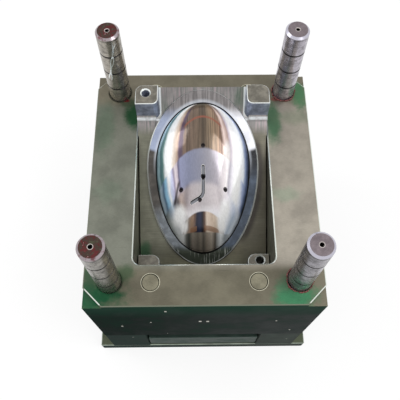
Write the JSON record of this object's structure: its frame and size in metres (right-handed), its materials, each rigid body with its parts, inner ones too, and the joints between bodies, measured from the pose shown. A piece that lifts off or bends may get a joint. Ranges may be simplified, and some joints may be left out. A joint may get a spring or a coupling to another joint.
{
  "type": "injection mould half",
  "caption": "Ejector half of an injection mould: pocketed steel plate with guide pins, a mirror-polished domed core on a sloping insert with interlock lugs, and an ejector box below.",
  "frame": {"origin": "centre of the clamp plate's underside", "axes": "+Z is the mould's opening direction, towards the other half; -Y is the front, where the insert's parting face is lowest; +X is the right of the picture"},
  "size_m": [0.4, 0.4, 0.51],
  "materials": {
    "clamp_steel": "dark olive painted flange",
    "painted_steel": "thin dark green paint over sawn steel",
    "plate_steel": "ground top with green dye, dark green sides",
    "milled_steel": "milled, oiled, olive brown",
    "polished_steel": "mirror polished",
    "ejector_steel": "plain milled",
    "pin_steel": "ground",
    "leader_steel": "ground and greased",
    "spring_steel": "dark spring steel",
    "screw_steel": "black oxide"
  },
  "bodies": {
    "frame": {"clamp_plate": "clamp_steel", "spacer_block_left": "painted_steel", "spacer_block_right": "painted_steel", "core_plate": "plate_steel", "insert_block": "milled_steel", "core": "polished_steel", "leader_pin_front_left": "leader_steel", "leader_pin_back_left": "leader_steel", "leader_pin_front_right": "leader_steel", "leader_pin_back_right": "leader_steel", "stop_buttons": "pin_steel", "return_springs": "spring_steel", "clamp_screws": "screw_steel", "insert_screws": "screw_steel", "core_screws": "screw_steel"},
    "ejector": {"ejector_retainer_plate": "ejector_steel", "ejector_plate": "ejector_steel", "return_pin_front_left": "pin_steel", "return_pin_back_left": "pin_steel", "return_pin_front_right": "pin_steel", "return_pin_back_right": "pin_steel", "ejector_pin_left": "pin_steel", "ejector_pin_right": "pin_steel", "ejector_pin_back": "pin_steel", "ejector_pin_front": "pin_steel", "sprue_puller_pin": "pin_steel", "ejector_plate_screws": "screw_steel"}
  },
  "joints": [
    {"name": "ejection", "type": "slide", "parent": "frame", "child": "ejector", "axis": [0, 0, 1], "range_m": [0, 0.04], "stiffness_N_per_m": 8000, "deforming": ["return_springs"]}
  ]
}
